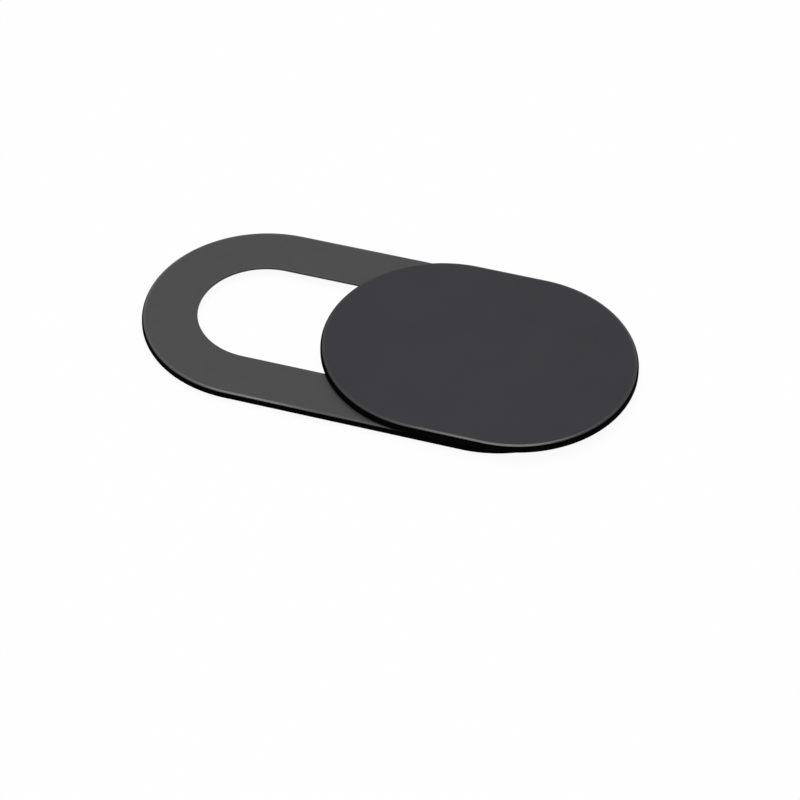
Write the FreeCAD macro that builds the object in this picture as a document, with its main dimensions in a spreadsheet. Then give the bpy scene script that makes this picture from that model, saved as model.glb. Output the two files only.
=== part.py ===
import FreeCAD, Part
import math
import os
import Sketcher

# A thin sliding cover for a webcam. A flat stadium-shaped frame sticks to the lid with a ring of tape.
# A cover plate as wide as the frame slides along it, from one end to the other, and shuts the window
# over the lens. At either end it stands a little past the frame. The plate can't lift off: its neck runs
# in the window, and a wider keeper plate under the neck runs in a recess below the rails.
#
# Millimetres. +X runs along the frame, +Z away from the lid. The origin lies on the tape's underside, in
# the middle of the overall length with the cover at rest.

# Each driving size: its name, its value and what it is.
DRIVING_SIZES = [
    ("overall_length", 18.5, "over the frame and the cover at rest, as dimensioned"),
    ("overall_width", 9.0, "width of the frame and of the cover, as dimensioned"),
    ("frame_thickness", 0.23, "height of the moulded frame"),
    ("frame_edge_radius", 0.15, "rounding of the frame's outer top edge"),
    ("window_width", 4.9, "width of the opening between the rails"),
    ("window_edge_break", 0.03, "chamfer round the window's top edge"),
    ("rail_thickness", 0.10, "what is left of the frame above the keeper's recess"),
    ("rail_overlap", 0.65, "how far the recess reaches under the rails, past the window"),
    ("tape_thickness", 0.17, "height of the adhesive ring, which lifts the frame off the lid"),
    ("tape_edge_inset", 0.20, "how far the tape stays inside the frame's outline"),
    ("tape_recess_setback", 0.10, "how far the tape stays outside the keeper's recess"),
    ("cover_length", 11.6, "length of the sliding cover plate"),
    ("cover_thickness", 0.28, "height of the cover plate"),
    ("cover_edge_radius", 0.15, "rounding of the cover's top edge"),
    ("cover_gap", 0.02, "running gap between the frame and the cover plate"),
    ("neck_centres", 1.20, "between the centres of the neck's round ends, which sets the travel"),
    ("neck_clearance", 0.04, "gap at each side between the neck and the window"),
    ("keeper_gap", 0.02, "running gap between the rails and the keeper"),
    ("keeper_side_clearance", 0.05, "gap at each side between the keeper and its recess"),
    ("lid_clearance", 0.05, "height of the keeper's underside above the lid"),
    ("keeper_edge_chamfer", 0.08, "chamfer round the keeper's underside"),
    ("stake_diameter", 0.80, "shank of each heat-staked pin"),
    ("stake_head_diameter", 1.10, "spread head of each pin"),
    ("stake_head_depth", 0.12, "height over which a pin spreads to its head"),
    ("stake_clearance", 0.01, "gap at each side between a pin and the keeper"),
    ("stake_end_inset", 1.60, "from the neck's ends to the pins' centres"),
    ("stake_side_inset", 1.30, "from the neck's sides to the pins' centres"),
]

# Sizes that follow from the driving ones, as expressions on the spreadsheet. Every outline of this part
# is a stadium, so each has an end radius and a distance between the centres of its two ends.
COVER_RADIUS = "sizes.overall_width / 2"
COVER_CENTRES = "(sizes.cover_length - sizes.overall_width)"
COVER_X = "(sizes.overall_length - sizes.cover_length) / 2"

# The neck stops in the window's end, where their round ends share a centre. So the cover stands past the
# frame by half of what its centres are further apart than the neck's.
OVERHANG = f"(({COVER_CENTRES} - sizes.neck_centres) / 2)"
FRAME_RADIUS = "sizes.overall_width / 2"
FRAME_CENTRES = f"(sizes.overall_length - {OVERHANG} - sizes.overall_width)"
FRAME_X = f"-{OVERHANG} / 2"
WINDOW_RADIUS = "sizes.window_width / 2"
RECESS_RADIUS = f"({WINDOW_RADIUS} + sizes.rail_overlap)"
RECESS_DEPTH = "(sizes.frame_thickness - sizes.rail_thickness)"
TAPE_OUTER_RADIUS = f"({FRAME_RADIUS} - sizes.tape_edge_inset)"
TAPE_INNER_RADIUS = f"({RECESS_RADIUS} + sizes.tape_recess_setback)"

NECK_RADIUS = f"({WINDOW_RADIUS} - sizes.neck_clearance)"
NECK_HEIGHT = "(sizes.cover_gap + sizes.rail_thickness + sizes.keeper_gap)"
KEEPER_RADIUS = f"({RECESS_RADIUS} - sizes.keeper_side_clearance)"
KEEPER_THICKNESS = f"(sizes.tape_thickness + {RECESS_DEPTH} - sizes.keeper_gap - sizes.lid_clearance)"
COVER_BASE = "(sizes.tape_thickness + sizes.frame_thickness + sizes.cover_gap)"
STAKE_SPACING_X = f"(sizes.neck_centres + 2 * {NECK_RADIUS} - 2 * sizes.stake_end_inset)"
STAKE_SPACING_Y = f"(2 * {NECK_RADIUS} - 2 * sizes.stake_side_inset)"

# How a sketch numbers the points of its lines and arcs, and its own X axis and origin.
START, END, CENTRE = range(1, 4)
SKETCH_X_AXIS = -1
SKETCH_ORIGIN = (SKETCH_X_AXIS, START)

# Points this near to a rim, in millimetres, lie on it.
TOUCHING = 1e-4


def make_sheet(document):
    """The spreadsheet that holds the driving sizes, one row each."""
    sheet = document.addObject("Spreadsheet::Sheet", "sizes")
    for row, (name, value, meaning) in enumerate(DRIVING_SIZES, start=1):
        sheet.set(f"A{row}", name)
        sheet.set(f"B{row}", str(value))
        sheet.set(f"C{row}", meaning)
        sheet.setAlias(f"B{row}", name)
    document.recompute()
    return sheet


def origin_feature(body, role):
    """One of the body's own origin planes or axes, such as XY_Plane or X_Axis."""
    return next(item for item in body.Origin.OriginFeatures if item.Role == role)


def add_body(document, name):
    body = document.addObject("PartDesign::Body", name)
    body.Label = name
    return body


def add_sketch(body, name, plane="XY_Plane"):
    sketch = body.newObject("Sketcher::SketchObject", name)
    sketch.AttachmentSupport = [(origin_feature(body, plane), "")]
    sketch.MapMode = "FlatFace"
    return sketch


def constrain(sketch, name, expression, *constraint):
    """Adds one constraint whose size is bound to an expression on the spreadsheet."""
    index = sketch.addConstraint(Sketcher.Constraint(*constraint, sketch.evalExpression(expression)))
    sketch.renameConstraint(index, name)
    sketch.setExpression(f"Constraints.{name}", expression)


def draw_stadium(sketch, name, radius, centres):
    """Draws a stadium centred on the sketch's origin, with its two straight sides along X."""
    end_radius = sketch.evalExpression(radius)
    half = sketch.evalExpression(centres) / 2
    up = FreeCAD.Vector(0, 0, 1)
    ends = []
    for side, turn in ((1, -math.pi / 2), (-1, math.pi / 2)):
        circle = Part.Circle(FreeCAD.Vector(side * half, 0, 0), up, end_radius)
        ends.append(sketch.addGeometry(Part.ArcOfCircle(circle, turn, turn + math.pi)))
    right, left = ends
    sides = []
    for side in (1, -1):
        start = FreeCAD.Vector(side * half, side * end_radius, 0)
        finish = FreeCAD.Vector(-side * half, side * end_radius, 0)
        sides.append(sketch.addGeometry(Part.LineSegment(start, finish)))
    upper, lower = sides
    for first, second in ((right, upper), (upper, left), (left, lower), (lower, right)):
        sketch.addConstraint(Sketcher.Constraint("Tangent", first, END, second, START))
    sketch.addConstraint(Sketcher.Constraint("Equal", right, left))
    sketch.addConstraint(Sketcher.Constraint("PointOnObject", right, CENTRE, SKETCH_X_AXIS))
    sketch.addConstraint(Sketcher.Constraint("Symmetric", left, CENTRE, right, CENTRE, *SKETCH_ORIGIN))
    constrain(sketch, f"{name}_radius", radius, "Radius", right)
    constrain(sketch, f"{name}_centres", centres, "DistanceX", left, CENTRE, right, CENTRE)


def add_feature(body, kind, name, profile, length, reverse=False):
    """A pad or a pocket of one sketch, bound to its length. A pocket that removes nothing is an error."""
    before = body.Shape.Volume if body.Tip else 0
    feature = body.newObject(f"PartDesign::{kind}", name)
    feature.Profile = profile
    feature.Reversed = reverse
    feature.setExpression("Length", length)
    profile.Visibility = False
    body.Document.recompute()
    if kind == "Pocket" and feature.Shape.Volume >= before:
        raise RuntimeError(f"{name} cuts nothing")
    return feature


def rim_edges(feature, rim):
    """Names of the edges that run round a rim, given as its height, end radius and centre distance."""
    height, radius, centres = rim
    level = feature.evalExpression(height)
    reach = feature.evalExpression(radius)
    half = feature.evalExpression(centres) / 2
    names = []
    for number, edge in enumerate(feature.Shape.Edges, start=1):
        middle = edge.valueAt((edge.FirstParameter + edge.LastParameter) / 2)
        points = [vertex.Point for vertex in edge.Vertexes] + [middle]
        if all(
            abs(point.z - level) < TOUCHING
            and abs(math.hypot(max(abs(point.x) - half, 0), point.y) - reach) < TOUCHING
            for point in points
        ):
            names.append(f"Edge{number}")
    return names


def dress_rim(body, kind, name, base, size, rim):
    """A fillet or a chamfer round one stadium-shaped rim of the feature before it."""
    edges = rim_edges(base, rim)
    if not edges:
        raise RuntimeError(f"{name} finds no edges")
    feature = body.newObject(f"PartDesign::{kind}", name)
    feature.Base = (base, edges)
    feature.setExpression("Radius" if kind == "Fillet" else "Size", size)
    body.Document.recompute()
    return feature


def add_stakes(body, kind, name, clearance, length, bottom):
    """Four round stakes, spread at the foot: a revolved profile, repeated by a pattern.

    A Revolution makes the pins, and a Groove makes the holes that they fill, a clearance wider.
    """
    before = body.Shape.Volume
    profile = add_sketch(body, f"{name}_profile", "XZ_Plane")
    profile.setExpression("AttachmentOffset.Base.x", f"-{STAKE_SPACING_X} / 2")
    profile.setExpression("AttachmentOffset.Base.y", bottom)
    profile.setExpression("AttachmentOffset.Base.z", f"{STAKE_SPACING_Y} / 2")
    shank = f"(sizes.stake_diameter / 2 + {clearance})"
    head = f"(sizes.stake_head_diameter / 2 + {clearance})"
    spread = "sizes.stake_head_depth"
    shank_x = profile.evalExpression(shank)
    head_x = profile.evalExpression(head)
    spread_y = profile.evalExpression(spread)
    top_y = profile.evalExpression(length)
    outline = [(0, 0), (head_x, 0), (shank_x, spread_y), (shank_x, top_y), (0, top_y)]
    corners = [FreeCAD.Vector(x, y, 0) for x, y in outline]
    lines = [
        profile.addGeometry(Part.LineSegment(corner, following))
        for corner, following in zip(corners, corners[1:] + corners[:1])
    ]
    foot, cone, side, top, axis = lines
    for line, following in zip(lines, lines[1:] + lines[:1]):
        profile.addConstraint(Sketcher.Constraint("Coincident", line, END, following, START))
    profile.addConstraint(Sketcher.Constraint("Coincident", foot, START, *SKETCH_ORIGIN))
    for line in (foot, top):
        profile.addConstraint(Sketcher.Constraint("Horizontal", line))
    for line in (side, axis):
        profile.addConstraint(Sketcher.Constraint("Vertical", line))
    constrain(profile, "head", head, "DistanceX", foot, START, foot, END)
    constrain(profile, "shank", shank, "DistanceX", top, END, top, START)
    constrain(profile, "spread", spread, "DistanceY", cone, START, cone, END)
    constrain(profile, "length", length, "DistanceY", axis, END, axis, START)

    stake = body.newObject(f"PartDesign::{kind}", name)
    stake.Profile = profile
    stake.ReferenceAxis = (profile, ["V_Axis"])
    stake.Angle = 360
    profile.Visibility = False
    body.Document.recompute()

    pattern = body.newObject("PartDesign::LinearPattern", f"{name}_pattern")
    pattern.Originals = [stake]
    pattern.Direction = (origin_feature(body, "X_Axis"), [""])
    pattern.setExpression("Length", STAKE_SPACING_X)
    pattern.Occurrences = 2
    pattern.Direction2 = (origin_feature(body, "Y_Axis"), [""])
    pattern.setExpression("Length2", STAKE_SPACING_Y)
    pattern.Occurrences2 = 2
    body.Tip = pattern
    body.Document.recompute()
    one = abs(stake.Shape.Volume - before)
    if not math.isclose(abs(pattern.Shape.Volume - before), 4 * one, rel_tol=1e-3):
        raise RuntimeError(f"{name} isn't made four times")
    return pattern


def make_adhesive_ring(document):
    """The double-sided tape, die-cut as a ring that leaves the keeper's recess free."""
    body = add_body(document, "adhesive_ring")
    body.setExpression("Placement.Base.x", FRAME_X)
    outline = add_sketch(body, "tape_outline")
    draw_stadium(outline, "outer", TAPE_OUTER_RADIUS, FRAME_CENTRES)
    draw_stadium(outline, "inner", TAPE_INNER_RADIUS, FRAME_CENTRES)
    add_feature(body, "Pad", "tape", outline, "sizes.tape_thickness")
    return body


def make_base_frame(document):
    """The moulded frame, a flat ring. Its rails are thinned from below, and the keeper runs there."""
    body = add_body(document, "base_frame")
    body.setExpression("Placement.Base.x", FRAME_X)
    body.setExpression("Placement.Base.z", "sizes.tape_thickness")
    outline = add_sketch(body, "frame_outline")
    draw_stadium(outline, "outer", FRAME_RADIUS, FRAME_CENTRES)
    draw_stadium(outline, "window", WINDOW_RADIUS, FRAME_CENTRES)
    add_feature(body, "Pad", "ring", outline, "sizes.frame_thickness")

    recess_outline = add_sketch(body, "recess_outline")
    draw_stadium(recess_outline, "recess", RECESS_RADIUS, FRAME_CENTRES)
    recess = add_feature(body, "Pocket", "keeper_recess", recess_outline, RECESS_DEPTH, reverse=True)

    top = "sizes.frame_thickness"
    outer_rim = (top, FRAME_RADIUS, FRAME_CENTRES)
    window_rim = (top, WINDOW_RADIUS, FRAME_CENTRES)
    rounded = dress_rim(body, "Fillet", "outer_rounding", recess, "sizes.frame_edge_radius", outer_rim)
    dress_rim(body, "Chamfer", "window_break", rounded, "sizes.window_edge_break", window_rim)
    return body


def make_slider_cover(document):
    """The shutter plate, with the neck that runs in the window and the pins that hold the keeper."""
    body = add_body(document, "slider_cover")
    body.setExpression("Placement.Base.x", COVER_X)
    body.setExpression("Placement.Base.z", COVER_BASE)
    outline = add_sketch(body, "cover_outline")
    draw_stadium(outline, "cover", COVER_RADIUS, COVER_CENTRES)
    plate = add_feature(body, "Pad", "plate", outline, "sizes.cover_thickness")
    top_rim = ("sizes.cover_thickness", COVER_RADIUS, COVER_CENTRES)
    dress_rim(body, "Fillet", "top_rounding", plate, "sizes.cover_edge_radius", top_rim)
    neck_outline = add_sketch(body, "neck_outline")
    draw_stadium(neck_outline, "neck", NECK_RADIUS, "sizes.neck_centres")
    add_feature(body, "Pad", "neck", neck_outline, NECK_HEIGHT, reverse=True)
    foot = f"-({NECK_HEIGHT} + {KEEPER_THICKNESS})"
    add_stakes(body, "Revolution", "stake_pin", "0", KEEPER_THICKNESS, foot)
    return body


def make_keeper_plate(document):
    """The plate that hooks the slider under the rails, with countersunk holes for the neck's pins."""
    body = add_body(document, "keeper_plate")
    body.setExpression("Placement.Base.x", COVER_X)
    body.setExpression("Placement.Base.z", "sizes.lid_clearance")
    outline = add_sketch(body, "keeper_outline")
    draw_stadium(outline, "keeper", KEEPER_RADIUS, "sizes.neck_centres")
    plate = add_feature(body, "Pad", "plate", outline, KEEPER_THICKNESS)
    lower_rim = ("0", KEEPER_RADIUS, "sizes.neck_centres")
    dress_rim(body, "Chamfer", "lower_break", plate, "sizes.keeper_edge_chamfer", lower_rim)
    add_stakes(body, "Groove", "stake_hole", "sizes.stake_clearance", KEEPER_THICKNESS, "0")
    return body


def check(document, bodies):
    """Stops unless every object was made and each piece is one valid solid."""
    for item in document.Objects:
        if {"Invalid", "Error"} & set(item.State):
            raise RuntimeError(f"{item.Label} failed: {item.State}")
    for body in bodies:
        shape = body.Shape
        if shape.isNull() or not shape.isValid() or len(shape.Solids) != 1:
            raise RuntimeError(f"{body.Label} isn't one valid solid")


document = FreeCAD.newDocument("webcam_cover_slider")
make_sheet(document)
bodies = [
    make_adhesive_ring(document),
    make_base_frame(document),
    make_slider_cover(document),
    make_keeper_plate(document),
]
document.recompute()
check(document, bodies)

os.makedirs("parts", exist_ok=True)
for body in bodies:
    body.Shape.exportStep(f"parts/{body.Label}.step")
    box = body.Shape.optimalBoundingBox()
    spans = zip("xyz", (box.XMin, box.YMin, box.ZMin), (box.XMax, box.YMax, box.ZMax))
    reach = ", ".join(f"{axis} {low:.3f} to {high:.3f}" for axis, low, high in spans)
    print(f"{body.Label}: {body.Shape.Volume:.4f} mm3, {reach}")
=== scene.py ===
# %% [markdown]
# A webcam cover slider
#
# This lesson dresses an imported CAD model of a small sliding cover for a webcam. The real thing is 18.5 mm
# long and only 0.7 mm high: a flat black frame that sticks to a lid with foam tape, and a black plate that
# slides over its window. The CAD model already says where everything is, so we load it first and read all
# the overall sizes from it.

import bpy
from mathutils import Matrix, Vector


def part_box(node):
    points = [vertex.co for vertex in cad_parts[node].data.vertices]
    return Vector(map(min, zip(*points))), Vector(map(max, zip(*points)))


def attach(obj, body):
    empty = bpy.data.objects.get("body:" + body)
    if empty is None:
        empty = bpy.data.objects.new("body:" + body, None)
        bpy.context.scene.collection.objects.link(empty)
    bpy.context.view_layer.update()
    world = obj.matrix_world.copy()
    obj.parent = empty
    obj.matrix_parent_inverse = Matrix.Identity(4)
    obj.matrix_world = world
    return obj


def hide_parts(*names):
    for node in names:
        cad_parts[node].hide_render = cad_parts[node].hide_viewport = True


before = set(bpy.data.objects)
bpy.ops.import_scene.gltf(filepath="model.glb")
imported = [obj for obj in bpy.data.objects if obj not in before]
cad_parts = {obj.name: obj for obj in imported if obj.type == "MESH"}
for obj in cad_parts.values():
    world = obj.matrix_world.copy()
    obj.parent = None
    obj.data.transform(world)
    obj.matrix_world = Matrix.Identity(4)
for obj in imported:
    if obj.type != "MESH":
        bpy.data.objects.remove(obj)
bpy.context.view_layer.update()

# %% Modules and units
import math

import bmesh
import bpy
from mathutils import Matrix, Vector

MM = 0.001
scene = bpy.context.scene
scene.view_settings.view_transform = "Standard"

# %% [markdown]
# The camera
#
# A catalogue picture is taken with a long lens from above one corner. We could place such a camera by hand,
# but its angles are easier to read as a direction: how far it turns round the object, how high it stands,
# how far away it is and which point it looks at. The long lens keeps the two ends of the object nearly the
# same size. The small roll is the tilt of the picture.

# %% Place the camera
CAMERA_AZIMUTH = math.radians(16.74)
CAMERA_ELEVATION = math.radians(44.27)
CAMERA_ROLL = math.radians(0.33)
CAMERA_DISTANCE = 99.6 * MM
CAMERA_TARGET = Vector((1.253, -2.573, 0.0)) * MM
CAMERA_LENS = 125.3

back = Vector(
    (
        math.sin(CAMERA_AZIMUTH) * math.cos(CAMERA_ELEVATION),
        -math.cos(CAMERA_AZIMUTH) * math.cos(CAMERA_ELEVATION),
        math.sin(CAMERA_ELEVATION),
    )
)
camera_data = bpy.data.cameras.new("camera")
camera_data.lens = CAMERA_LENS
camera_data.clip_start = 10 * MM
camera_data.clip_end = 2000 * MM
camera = bpy.data.objects.new("camera", camera_data)
scene.collection.objects.link(camera)
scene.camera = camera
turned = back.to_track_quat("Z", "Y").to_matrix().to_4x4() @ Matrix.Rotation(CAMERA_ROLL, 4, "Z")
camera.matrix_world = Matrix.Translation(CAMERA_TARGET + back * CAMERA_DISTANCE) @ turned
print("camera at (mm)", [round(c / MM, 2) for c in camera.matrix_world.translation])

# %% [markdown]
# Sizes
#
# Every outline of this slider is a stadium: two half circles joined by straight sides. So a stadium needs
# two numbers, an end radius and half the distance between its two centres, and both can be read from a
# node's box. The details that a box can't tell, such as the window and the step under the rails, are named
# here in millimetres. We model in millimetres, because the mesh tools merge and bevel more safely at
# numbers near one, and go to metres when a piece is finished.

# %% Read the sizes from the frame
def stadium_of(node):
    """End radius, half the centre distance, middle along X, bottom and top of a node, in mm."""
    low, high = (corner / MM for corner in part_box(node))
    radius = (high.y - low.y) / 2
    half = (high.x - low.x) / 2 - radius
    return radius, half, (low.x + high.x) / 2, low.z, high.z


FRAME_R, FRAME_HALF, FRAME_X, FRAME_LOW, FRAME_HIGH = stadium_of("base_frame")
TAPE_R, TAPE_HALF, TAPE_X, TAPE_LOW, TAPE_HIGH = stadium_of("adhesive_ring")
COVER_R, COVER_HALF, COVER_X, PIN_LOW, COVER_HIGH = stadium_of("slider_cover")
KEEPER_R, KEEPER_HALF, KEEPER_X, KEEPER_LOW, KEEPER_HIGH = stadium_of("keeper_plate")

WINDOW_R = 2.45
RAIL_THICKNESS = 0.10
RAIL_OVERLAP = 0.65
TAPE_SETBACK = 0.10
COVER_GAP = 0.02
NECK_CLEARANCE = 0.04
ROUNDING = 0.15

RECESS_R = WINDOW_R + RAIL_OVERLAP
TAPE_INNER_R = RECESS_R + TAPE_SETBACK
COVER_LOW = FRAME_HIGH + COVER_GAP
NECK_R = WINDOW_R - NECK_CLEARANCE
print(f"frame r {FRAME_R:.3f}, half {FRAME_HALF:.3f}, middle {FRAME_X:.3f}")
print(f"cover r {COVER_R:.3f}, half {COVER_HALF:.3f}, middle {COVER_X:.3f}; keeper half {KEEPER_HALF:.3f}")

# %% [markdown]
# A section swept round a stadium
#
# Both the frame and the plates are a cross-section carried once round a stadium. Blender's spin turns a
# section round a centre, and extrude carries it along a straight side, so two spins and two extrusions make
# the whole wall. A curve with a bevel object would do the same, but here we keep the exact corners, and can
# bevel each rim by its own amount afterwards. After two half turns the last corners are a few hundredths of
# a micrometre off the first ones, so the merge that closes the ring has to reach a little further than that.

# %% Sweep and edge helpers
ARC_STEPS = 96
SAME_PLACE = 2e-4


def kept(geometry, kind):
    return [item for item in geometry if isinstance(item, kind)]


def sweep_stadium(bm, section, half, middle=0.0, closed=True):
    """Carries a section, given as (distance from the core line, height) points, round a stadium."""
    verts = [bm.verts.new((middle + half, -reach, height)) for reach, height in section]
    followers = verts[1:] + verts[:1] if closed else verts[1:]
    edges = [bm.edges.new(pair) for pair in zip(verts, followers)]
    for side in (1, -1):
        centre = (middle + side * half, 0, 0)
        arc = bmesh.ops.spin(
            bm, geom=verts + edges, cent=centre, axis=(0, 0, 1), angle=math.pi, steps=ARC_STEPS
        )
        run = bmesh.ops.extrude_edge_only(bm, edges=kept(arc["geom_last"], bmesh.types.BMEdge))
        verts = kept(run["geom"], bmesh.types.BMVert)
        bmesh.ops.translate(bm, vec=(-2 * side * half, 0, 0), verts=verts)
        ends = set(verts)
        edges = [edge for edge in kept(run["geom"], bmesh.types.BMEdge) if set(edge.verts) <= ends]
    bmesh.ops.remove_doubles(bm, verts=bm.verts, dist=SAME_PLACE)


def core_distance(point, half, middle=0.0):
    """How far a point is from the stadium's core line, seen from above."""
    return math.hypot(max(abs(point.x - middle) - half, 0.0), point.y)


def rim(bm, radius, height, half, middle=0.0):
    """The edges that run round a stadium of this radius at this height."""

    def on_rim(point):
        off_radius = abs(core_distance(point, half, middle) - radius)
        return max(abs(point.z - height), off_radius) < SAME_PLACE

    return [edge for edge in bm.edges if all(on_rim(vert.co) for vert in edge.verts)]


def bevel(bm, edges, width, segments):
    bmesh.ops.bevel(
        bm, geom=edges, offset=width, segments=segments, profile=0.5, affect="EDGES", material=-1
    )


def open_edges(bm, height):
    """The edges round every opening that is left at one height."""
    return [
        edge for edge in bm.edges
        if edge.is_boundary and all(abs(vert.co.z - height) < SAME_PLACE for vert in edge.verts)
    ]


print("arc steps:", ARC_STEPS)

# %% [markdown]
# Shader arithmetic
#
# Materials here are sums of masks and noises. Wiring Math nodes by hand hides the formula, so one small
# class wraps a socket and lets Python's own + - * add the nodes, and every other node comes from one method.

# %% Node helpers
class Signal:
    """A node's output that can be used in Python sums."""

    def __init__(self, graph, socket):
        self.graph = graph
        self.socket = socket

    def calculate(self, operation, first, second):
        return self.graph.node("ShaderNodeMath", {"operation": operation}, {0: first, 1: second})

    def __add__(self, other):
        return self.calculate("ADD", self, other)

    def __radd__(self, other):
        return self.calculate("ADD", other, self)

    def __sub__(self, other):
        return self.calculate("SUBTRACT", self, other)

    def __rsub__(self, other):
        return self.calculate("SUBTRACT", other, self)

    def __mul__(self, other):
        return self.calculate("MULTIPLY", self, other)

    def __rmul__(self, other):
        return self.calculate("MULTIPLY", other, self)


class Graph:
    """A node tree that is built up one node at a time."""

    def __init__(self, owner):
        owner.use_nodes = True
        self.tree = owner.node_tree
        self.tree.nodes.clear()

    def node(self, kind, settings=None, inputs=None, output=0):
        """Adds a node: first its settings, then the values or links of its sockets."""
        made = self.tree.nodes.new(kind)
        for name, value in (settings or {}).items():
            setattr(made, name, value)
        for name, value in (inputs or {}).items():
            if isinstance(value, Signal):
                self.tree.links.new(value.socket, made.inputs[name])
            else:
                made.inputs[name].default_value = value
        return Signal(self, made.outputs[output]) if len(made.outputs) else made

    def millimetres(self):
        """Object coordinates, counted in millimetres."""
        place = self.node("ShaderNodeTexCoord", output="Object")
        return self.node("ShaderNodeVectorMath", {"operation": "SCALE"}, {0: place, "Scale": 1 / MM})

    def noise(self, place, per_mm, detail=2.0, roughness=0.5):
        """Noise around 0.5, with its grains per millimetre."""
        sockets = {"Vector": place, "Scale": per_mm, "Detail": detail, "Roughness": roughness}
        return self.node("ShaderNodeTexNoise", None, sockets)

    def shown(self):
        """1 on rays from the camera, a reflection or clear glass, 0 on rays that carry light."""
        camera, glossy, clear = (
            self.node("ShaderNodeLightPath", output=f"Is {kind} Ray")
            for kind in ("Camera", "Glossy", "Transmission")
        )
        return camera.calculate("MAXIMUM", camera, glossy.calculate("MAXIMUM", glossy, clear))

    def shade(self, dark, light, factor):
        """A colour between two, by a factor."""
        settings = {"data_type": "RGBA"}
        return self.node("ShaderNodeMix", settings, {0: factor, 6: dark, 7: light}, output=2)


print("signals add, subtract and multiply")

# %% [markdown]
# The finishes
#
# All the plastic is black, but it isn't one black. The frame's top has a fine spark-eroded grain that
# catches more light, and the cover plate is smoother and a trace bluer. The thin side walls and the steep
# part of each rounding are the same plastic, dead matt and painted nearly black: that colour is painted
# shade, and it draws the dark line under each edge. A grain in a mould is a few hundredths of a millimetre
# wide and a few thousandths deep. That is below what modelling can hold, so it is bump, with the same noise
# moving roughness and colour a little, because the tips of a grain polish first.
#
# The rounded rims are smoother than the tops, and most of all where a finger rubs them: on the frame's free
# end, and on the end of the cover that is pushed. A map range turns the place along X into that polish, and
# the polish lowers the roughness.

# %% Plastic finishes
MOULDED_ROUGHNESS = 0.70
FRAME_RUBBED = (-0.9, -3.7)
COVER_RUBBED = (0.3, 4.2)
MOTTLE_PER_MM = 0.6
GRAIN_COLOUR = 0.7
MOTTLE_COLOUR = 0.3
GRAIN_GLOSS = 0.10
MOTTLE_GLOSS = 0.06
GRAIN_BUMP = 0.6


def grey(value):
    return (value, value, value, 1)


def plastic(name, dark, light, roughness, grain_per_mm, grain_height, specular, rubbed=None):
    """A moulded plastic with a fine grain, on a slow mottle of a few millimetres.

    rubbed gives, along X in mm, where the moulded finish ends and where the polished one begins.
    """
    material = bpy.data.materials.new(name)
    graph = Graph(material)
    place = graph.millimetres()
    grain = graph.noise(place, grain_per_mm, detail=3.0, roughness=0.6)
    mottle = graph.noise(place, MOTTLE_PER_MM)
    tips = grain * GRAIN_COLOUR + mottle * MOTTLE_COLOUR
    gloss = roughness + (mottle - 0.5) * MOTTLE_GLOSS - (grain - 0.5) * GRAIN_GLOSS
    if rubbed:
        along = graph.node("ShaderNodeSeparateXYZ", None, {0: place}, output="X")
        span = {"Value": along, "From Min": rubbed[1], "From Max": rubbed[0]}
        unrubbed = graph.node("ShaderNodeMapRange", {"interpolation_type": "SMOOTHSTEP"}, span)
        gloss = gloss + unrubbed * (MOULDED_ROUGHNESS - roughness)
    bump = graph.node(
        "ShaderNodeBump", None, {"Strength": GRAIN_BUMP, "Distance": grain_height * MM, "Height": grain}
    )
    surface = graph.node(
        "ShaderNodeBsdfPrincipled",
        None,
        {
            "Base Color": graph.shade(dark, light, tips),
            "Roughness": gloss,
            "Specular IOR Level": specular,
            "Normal": bump,
        },
    )
    graph.node("ShaderNodeOutputMaterial", None, {"Surface": surface})
    return material


frame_top = plastic(
    "frame_satin_grain", dark=grey(0.033), light=grey(0.055),
    roughness=0.36, grain_per_mm=16.0, grain_height=0.004, specular=0.22,
)
frame_rim = plastic(
    "frame_rim_polished", dark=grey(0.020), light=grey(0.034),
    roughness=0.28, grain_per_mm=16.0, grain_height=0.0008, specular=0.60, rubbed=FRAME_RUBBED,
)
cover_top = plastic(
    "cover_satin_smooth", dark=(0.0117, 0.0105, 0.0143, 1), light=(0.0205, 0.0189, 0.0237, 1),
    roughness=0.32, grain_per_mm=22.0, grain_height=0.002, specular=0.22,
)
cover_rim = plastic(
    "cover_rim_polished", dark=(0.003, 0.003, 0.004, 1), light=(0.006, 0.006, 0.007, 1),
    roughness=0.28, grain_per_mm=22.0, grain_height=0.0006, specular=0.48, rubbed=COVER_RUBBED,
)
# Painted shade: the same plastic in a near-black colour, for the side walls and the steep part of each
# rounding.
painted_shade_wall = plastic(
    "painted_shade_side_wall", dark=grey(0.0005), light=grey(0.0015),
    roughness=0.85, grain_per_mm=12.0, grain_height=0.004, specular=0.02,
)
keeper_black = plastic(
    "keeper_moulded", dark=(0.016, 0.016, 0.017, 1), light=(0.028, 0.028, 0.029, 1),
    roughness=0.50, grain_per_mm=9.0, grain_height=0.006, specular=0.30,
)
pin_head = plastic(
    "pin_head_melted", dark=(0.014, 0.014, 0.015, 1), light=(0.022, 0.022, 0.023, 1),
    roughness=0.22, grain_per_mm=5.0, grain_height=0.008, specular=0.40,
)
plastics = (frame_top, frame_rim, cover_top, cover_rim, painted_shade_wall, keeper_black, pin_head)
print("plastics:", [material.name for material in plastics])

# %% [markdown]
# The tape is a white acrylic foam between two films. The foam shows only on its cut side, as fine cells. A
# Voronoi texture gives closed cells of one size, and its distance is already the height of a bubble.

# %% Foam tape finish
CELLS_PER_MM = 14.0
CLOUDS_PER_MM = 3.0
CELL_DEPTH = 0.008
CELL_BUMP = 0.5
FILM_ROUGHNESS = 0.45
CELL_ROUGHNESS = 0.3


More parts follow.
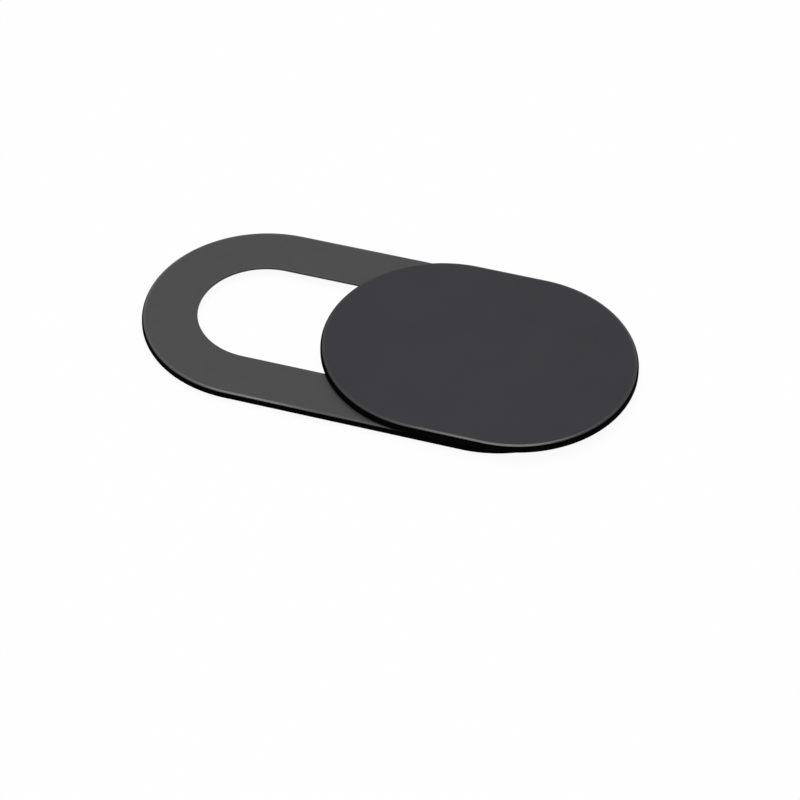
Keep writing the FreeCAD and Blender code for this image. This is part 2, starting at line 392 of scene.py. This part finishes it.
def foam_tape():
    material = bpy.data.materials.new("foam_tape_white")
    graph = Graph(material)
    place = graph.millimetres()
    cells = graph.node(
        "ShaderNodeTexVoronoi", None, {"Vector": place, "Scale": CELLS_PER_MM}, output="Distance"
    )
    clouds = graph.noise(place, CLOUDS_PER_MM)
    bump = graph.node(
        "ShaderNodeBump", None, {"Strength": CELL_BUMP, "Distance": CELL_DEPTH * MM, "Height": cells}
    )
    surface = graph.node(
        "ShaderNodeBsdfPrincipled",
        None,
        {
            "Base Color": graph.shade((0.82, 0.82, 0.80, 1), (0.90, 0.90, 0.88, 1), clouds),
            "Roughness": FILM_ROUGHNESS + cells * CELL_ROUGHNESS,
            "Specular IOR Level": 0.35,
            "Normal": bump,
        },
    )
    graph.node("ShaderNodeOutputMaterial", None, {"Surface": surface})
    return material


tape_white = foam_tape()
print("tape:", tape_white.name)

# %% [markdown]
# Finishing a piece
#
# Every piece ends the same way. Its normals point outwards, hard corners stay hard and rounded rims shade
# smoothly. A flat face beside a rounded rim would borrow the rim's tilt and shade it across its whole width.
# A Weighted Normal modifier is the usual cure, but its threshold is made for faces larger than these. So a
# narrow support loop is inset just inside the flat: the tilt ends there, and the rest stays truly flat. Then
# the mesh goes from millimetres to metres, rides on its CAD body and stands in for its CAD node.

# %% Piece helper
SHARP_ANGLE = math.radians(32)
SUPPORT_LOOP = 0.02
# Faces steeper than this near an outer rim get the near-black painted shade, in slot 1.
PAINTED_SHADE_NORMAL = math.cos(math.radians(40))
FLAT_NORMAL = math.cos(math.radians(1))
PAINTED_SHADE_SLOT = 1
RIM_SLOT = 2
PIN_SLOT = 3


def hold_flat(bm, height):
    """A support loop just inside the border of everything flat at one height."""
    bmesh.ops.recalc_face_normals(bm, faces=bm.faces)
    flat = [
        face for face in bm.faces if all(abs(vert.co.z - height) < SAME_PLACE for vert in face.verts)
    ]
    bmesh.ops.inset_region(bm, faces=flat, thickness=SUPPORT_LOOP, use_boundary=True, use_even_offset=True)


def finish_piece(bm, name, body, materials):
    """Turns a bmesh in millimetres into the piece that stands for one CAD node."""
    bmesh.ops.recalc_face_normals(bm, faces=bm.faces)
    for face in bm.faces:
        face.smooth = True
    for edge in bm.edges:
        edge.smooth = len(edge.link_faces) == 2 and edge.calc_face_angle() < SHARP_ANGLE
    gaps = sum(not edge.is_manifold for edge in bm.edges)
    mesh = bpy.data.meshes.new(name)
    bm.to_mesh(mesh)
    bm.free()
    mesh.transform(Matrix.Scale(MM, 4))
    for material in materials:
        mesh.materials.append(material)
    piece = bpy.data.objects.new(f"{name}_visual", mesh)
    scene.collection.objects.link(piece)
    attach(piece, body)
    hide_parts(name)
    print(f"{name}: {len(mesh.polygons)} faces, {gaps} open edges")


def zone_rim(bm, radius, half, middle=0.0):
    """Painted shade, a near-black colour, on the outer wall and the steep part of its rounding; the rim's
    finish on the rest.
    """
    for face in bm.faces:
        if core_distance(face.calc_center_median(), half, middle) > radius - ROUNDING:
            # Steep faces get the near-black painted shade; gentler ones get the rim's finish.
            if abs(face.normal.z) < PAINTED_SHADE_NORMAL:
                face.material_index = PAINTED_SHADE_SLOT
            elif 0 < face.normal.z < FLAT_NORMAL:
                face.material_index = RIM_SLOT


print("sharp above", round(math.degrees(SHARP_ANGLE)), "degrees")

# %% [markdown]
# The track frame
#
# The frame is one moulding: a flat ring with a window. From below, its rails are thinned to a lip of 0.1
# mm, and the slider's keeper runs in that step. So the section has six corners. Its outer top rim is
# rounded, the window's edge is only broken, and the lower rims have the hair of a radius that any mould
# leaves.

# %% Base frame
RAIL_LOW = FRAME_HIGH - RAIL_THICKNESS
ROUNDING_STEPS = 12
WINDOW_BREAK = 0.03
BREAK_STEPS = 3
HAIR_RADIUS = 0.015
HAIR_STEPS = 2

bm = bmesh.new()
frame_section = [
    (FRAME_R, FRAME_LOW),
    (FRAME_R, FRAME_HIGH),
    (WINDOW_R, FRAME_HIGH),
    (WINDOW_R, RAIL_LOW),
    (RECESS_R, RAIL_LOW),
    (RECESS_R, FRAME_LOW),
]
sweep_stadium(bm, frame_section, FRAME_HALF, FRAME_X)
bevel(bm, rim(bm, FRAME_R, FRAME_HIGH, FRAME_HALF, FRAME_X), ROUNDING, ROUNDING_STEPS)
bevel(bm, rim(bm, WINDOW_R, FRAME_HIGH, FRAME_HALF, FRAME_X), WINDOW_BREAK, BREAK_STEPS)
for radius, height in ((FRAME_R, FRAME_LOW), (WINDOW_R, RAIL_LOW), (RECESS_R, FRAME_LOW)):
    bevel(bm, rim(bm, radius, height, FRAME_HALF, FRAME_X), HAIR_RADIUS, HAIR_STEPS)
hold_flat(bm, FRAME_HIGH)
zone_rim(bm, FRAME_R, FRAME_HALF, FRAME_X)
finish_piece(bm, "base_frame", "frame", [frame_top, painted_shade_wall, frame_rim])

# %% [markdown]
# The tape ring
#
# Foam tape is three layers: film, foam, film. When a die cuts it, the foam springs back a little further
# than the films, so the cut side has a shallow groove between two thin lips. The section shows just that.

# %% Adhesive ring
FILM = 0.035
GROOVE_START = 1.5 * FILM
SPRING_BACK = 0.015

bm = bmesh.new()
tape_section = []
for radius, inward in ((TAPE_R, -1), (TAPE_INNER_R, 1)):
    foam = radius + inward * SPRING_BACK
    wall = [
        (radius, TAPE_LOW),
        (radius, TAPE_LOW + FILM),
        (foam, TAPE_LOW + GROOVE_START),
        (foam, TAPE_HIGH - GROOVE_START),
        (radius, TAPE_HIGH - FILM),
        (radius, TAPE_HIGH),
    ]
    tape_section += wall if inward < 0 else wall[::-1]
sweep_stadium(bm, tape_section, TAPE_HALF, TAPE_X)
finish_piece(bm, "adhesive_ring", "frame", [tape_white])

# %% [markdown]
# The cover plate, its neck and its pins
#
# The cover is one moulding too: the plate, the neck under it that runs between the rails, and four pins
# that go through the keeper. The plate is longer than the neck, so each gets a sweep of its own, and the
# pins are turned by a full spin each. What is left open are flat faces with holes in them: the plate's
# underside round the neck, and the neck's underside round the pins. A triangle fill closes both. A hot
# punch has spread the pins' ends into low domes.

# %% Slider cover
PIN_R = 0.40
HEAD_R = 0.55
HEAD_DEPTH = 0.12
PIN_END_INSET = 1.60
PIN_SIDE_INSET = 1.30
PIN_X = KEEPER_HALF + NECK_R - PIN_END_INSET
PIN_Y = NECK_R - PIN_SIDE_INSET
PIN_STEPS = 40
DOME = 0.018
DOME_STEPS = 6
FLAT_INSET = 0.30


def turn_section(bm, section, x, y):
    """Spins a section of (radius, height) points a full turn round an upright axis."""
    verts = [bm.verts.new((x + radius, y, height)) for radius, height in section]
    edges = [bm.edges.new(pair) for pair in zip(verts, verts[1:])]
    turn = {"cent": (x, y, 0), "axis": (0, 0, 1), "angle": math.tau}
    bmesh.ops.spin(bm, geom=verts + edges, steps=PIN_STEPS, use_merge=True, **turn)


def pin_places():
    return [(KEEPER_X + i * PIN_X, j * PIN_Y) for i in (-1, 1) for j in (-1, 1)]


bm = bmesh.new()
plate_section = [
    (COVER_R - FLAT_INSET, COVER_HIGH),
    (COVER_R, COVER_HIGH),
    (COVER_R, COVER_LOW),
    (COVER_R - FLAT_INSET, COVER_LOW),
]
neck_section = [(NECK_R, COVER_LOW), (NECK_R, KEEPER_HIGH), (NECK_R - FLAT_INSET, KEEPER_HIGH)]
sweep_stadium(bm, plate_section, COVER_HALF, COVER_X, closed=False)
sweep_stadium(bm, neck_section, KEEPER_HALF, KEEPER_X, closed=False)
bmesh.ops.edgeloop_fill(bm, edges=open_edges(bm, COVER_HIGH))
bmesh.ops.triangle_fill(bm, edges=open_edges(bm, COVER_LOW), use_beauty=True, normal=(0, 0, -1))
dome = [
    (HEAD_R * math.cos(turn), PIN_LOW - DOME * math.sin(turn))
    for turn in (math.pi / 2 * step / DOME_STEPS for step in range(1, DOME_STEPS + 1))
]
pin_section = [(PIN_R, KEEPER_HIGH), (PIN_R, PIN_LOW + HEAD_DEPTH), (HEAD_R, PIN_LOW)] + dome
for x, y in pin_places():
    turn_section(bm, pin_section, x, y)
bmesh.ops.remove_doubles(bm, verts=bm.verts, dist=SAME_PLACE)
bmesh.ops.triangle_fill(bm, edges=open_edges(bm, KEEPER_HIGH), use_beauty=True, normal=(0, 0, -1))
bevel(bm, rim(bm, COVER_R, COVER_HIGH, COVER_HALF, COVER_X), ROUNDING, ROUNDING_STEPS)
bevel(bm, rim(bm, COVER_R, COVER_LOW, COVER_HALF, COVER_X), HAIR_RADIUS, HAIR_STEPS)
for height in (COVER_HIGH, COVER_LOW):
    hold_flat(bm, height)
zone_rim(bm, COVER_R, COVER_HALF, COVER_X)
for face in bm.faces:
    if face.calc_center_median().z < PIN_LOW + HEAD_DEPTH:
        face.material_index = PIN_SLOT
cover_finishes = [cover_top, painted_shade_wall, cover_rim, pin_head]
finish_piece(bm, "slider_cover", "slider", cover_finishes)

# %% [markdown]
# The keeper
#
# The keeper is the plate that hooks the slider under the rails. It is the same kind of sweep, with four
# countersunk holes that the pins fill. Its lower rim is chamfered, so that it can't scratch a screen.

# %% Keeper plate
HOLE_GAP = 0.01
KEEPER_CHAMFER = 0.08

bm = bmesh.new()
keeper_section = [
    (KEEPER_R - FLAT_INSET, KEEPER_HIGH),
    (KEEPER_R, KEEPER_HIGH),
    (KEEPER_R, KEEPER_LOW),
    (KEEPER_R - FLAT_INSET, KEEPER_LOW),
]
sweep_stadium(bm, keeper_section, KEEPER_HALF, KEEPER_X, closed=False)
hole_section = [
    (PIN_R + HOLE_GAP, KEEPER_HIGH),
    (PIN_R + HOLE_GAP, KEEPER_LOW + HEAD_DEPTH),
    (HEAD_R + HOLE_GAP, KEEPER_LOW),
]
for x, y in pin_places():
    turn_section(bm, hole_section, x, y)
bmesh.ops.remove_doubles(bm, verts=bm.verts, dist=SAME_PLACE)
bmesh.ops.triangle_fill(bm, edges=open_edges(bm, KEEPER_HIGH), use_beauty=True, normal=(0, 0, 1))
bmesh.ops.triangle_fill(bm, edges=open_edges(bm, KEEPER_LOW), use_beauty=True, normal=(0, 0, -1))
bevel(bm, rim(bm, KEEPER_R, KEEPER_LOW, KEEPER_HALF, KEEPER_X), KEEPER_CHAMFER, 1)
bevel(bm, rim(bm, KEEPER_R, KEEPER_HIGH, KEEPER_HALF, KEEPER_X), HAIR_RADIUS, HAIR_STEPS)
hold_flat(bm, KEEPER_LOW)
finish_piece(bm, "keeper_plate", "slider", [keeper_black])

# %% [markdown]
# The floor
#
# A catalogue picture stands on pure white. More light would wash the object out, so the floor stays a pale
# matt surface for all the light that reaches the object. Only where it is looked at, by the camera or in a
# reflection, it is mixed with a plain white glow of strength 1. The matt part is still in that mix, so the
# object's own soft shadow stays. The floor lies a hair under the tape, because two faces in one plane
# flicker.

# %% Floor
FLOOR_HALF = 600.0
FLOOR_WHITE = 0.88
FLOOR_GLOW = 0.94
FLOOR_GAP = 0.005

bm = bmesh.new()
under = Matrix.Translation((0, 0, -FLOOR_GAP))
bmesh.ops.create_grid(bm, x_segments=1, y_segments=1, size=FLOOR_HALF, matrix=under)
floor_mesh = bpy.data.meshes.new("floor")
bm.to_mesh(floor_mesh)
bm.free()
floor_mesh.transform(Matrix.Scale(MM, 4))
floor = bpy.data.objects.new("floor", floor_mesh)
scene.collection.objects.link(floor)

floor_material = bpy.data.materials.new("floor_white")
graph = Graph(floor_material)
matt = graph.node("ShaderNodeBsdfDiffuse", None, {"Color": grey(FLOOR_WHITE)})
glow = graph.node("ShaderNodeEmission", None, {"Strength": 1.0})
both = graph.node("ShaderNodeMixShader", None, {0: graph.shown() * FLOOR_GLOW, 1: matt, 2: glow})
graph.node("ShaderNodeOutputMaterial", None, {"Surface": both})
floor_mesh.materials.append(floor_material)
print("floor half width in mm:", FLOOR_HALF)

# %% [markdown]
# Studio light
#
# A white tent lights black plastic evenly: that is the world colour. It sheds little light, but the camera
# and every reflection see it white. One softbox stands almost overhead. The flat tops mirror the tent behind
# the object and not the softbox, but the rounded front rims turn through every angle and catch it as a thin
# bright line.

# %% World and softbox
TENT = 0.20
SOFTBOX_HEIGHT = 200 * MM
SOFTBOX_LEFT = math.radians(1)
SOFTBOX_LENGTH = 230 * MM
SOFTBOX_WIDTH = 130 * MM
SOFTBOX_RADIANCE = 4.3

world = bpy.data.worlds.new("tent")
scene.world = world
graph = Graph(world)
strength = TENT + graph.shown() * (1 - TENT)
tent = graph.node("ShaderNodeBackground", None, {"Color": grey(1), "Strength": strength})
graph.node("ShaderNodeOutputWorld", None, {"Surface": tent})

softbox_data = bpy.data.lights.new("softbox", "AREA")
softbox_data.shape = "RECTANGLE"
softbox_data.size = SOFTBOX_WIDTH
softbox_data.size_y = SOFTBOX_LENGTH
softbox_data.energy = SOFTBOX_RADIANCE * math.pi * SOFTBOX_WIDTH * SOFTBOX_LENGTH
softbox = bpy.data.objects.new("softbox", softbox_data)
scene.collection.objects.link(softbox)
forward = Vector((math.sin(CAMERA_AZIMUTH), -math.cos(CAMERA_AZIMUTH), 0))
left = forward.cross(Vector((0, 0, 1)))
above = Vector((0, 0, 1)) + left * math.tan(SOFTBOX_LEFT)
facing = above.normalized()
across = forward.cross(facing).normalized()
along = facing.cross(across)
turn = Matrix((across, along, facing)).transposed().to_4x4()
softbox.matrix_world = Matrix.Translation(above * SOFTBOX_HEIGHT) @ turn
print("softbox power in W:", round(softbox_data.energy, 3))
